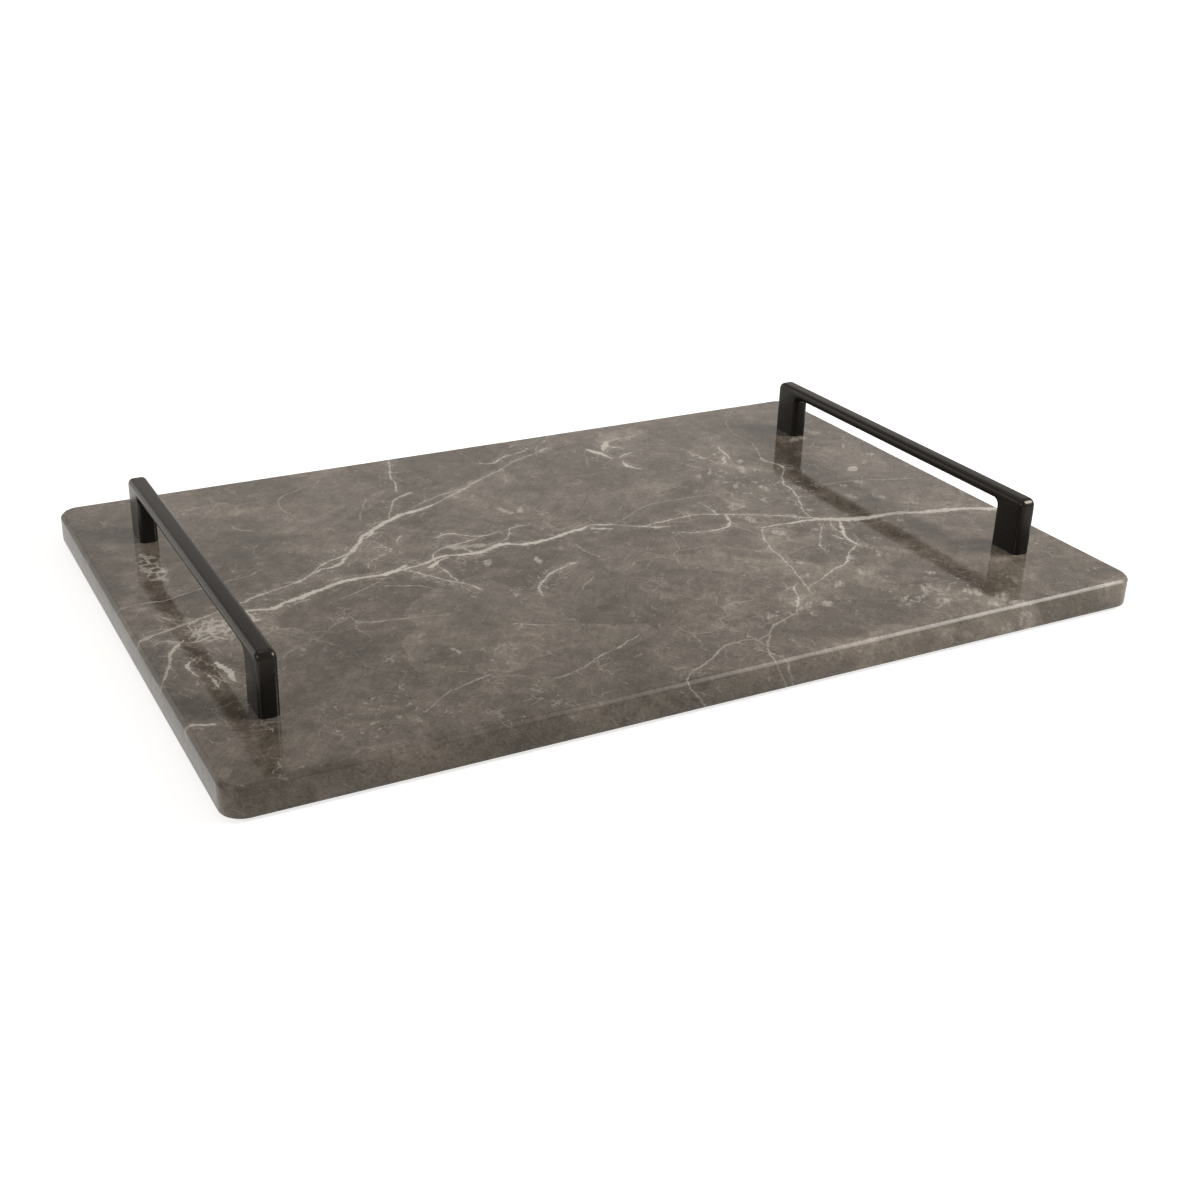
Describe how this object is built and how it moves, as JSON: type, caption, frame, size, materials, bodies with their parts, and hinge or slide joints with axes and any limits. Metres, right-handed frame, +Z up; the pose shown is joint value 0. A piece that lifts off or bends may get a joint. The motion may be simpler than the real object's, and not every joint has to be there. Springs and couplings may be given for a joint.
{
  "type": "marble tray",
  "caption": "Rectangular polished marble serving tray with rounded corners, a chamfered top edge and a black bar handle across each short end.",
  "frame": {"origin": "on the table, under the middle of the tray", "axes": "+X along the tray from the left handle to the right one, +Y from the front long edge to the back one, +Z up"},
  "size_m": [0.45, 0.3, 0.0448],
  "materials": {
    "marble": "grey-brown marble with pale veins, polished on top and honed on the edges",
    "black_coating": "satin black powder coating",
    "zinc_plate": "bright zinc-plated steel",
    "foot_rubber": "matt black rubber"
  },
  "bodies": {
    "root": {"marble_slab": "marble", "handle_left": "black_coating", "handle_right": "black_coating", "handle_screw_left_front": "zinc_plate", "handle_screw_left_back": "zinc_plate", "handle_screw_right_front": "zinc_plate", "handle_screw_right_back": "zinc_plate", "screw_washer_left_front": "zinc_plate", "screw_washer_left_back": "zinc_plate", "screw_washer_right_front": "zinc_plate", "screw_washer_right_back": "zinc_plate", "rubber_foot_left_front": "foot_rubber", "rubber_foot_left_back": "foot_rubber", "rubber_foot_right_front": "foot_rubber", "rubber_foot_right_back": "foot_rubber"}
  },
  "joints": []
}
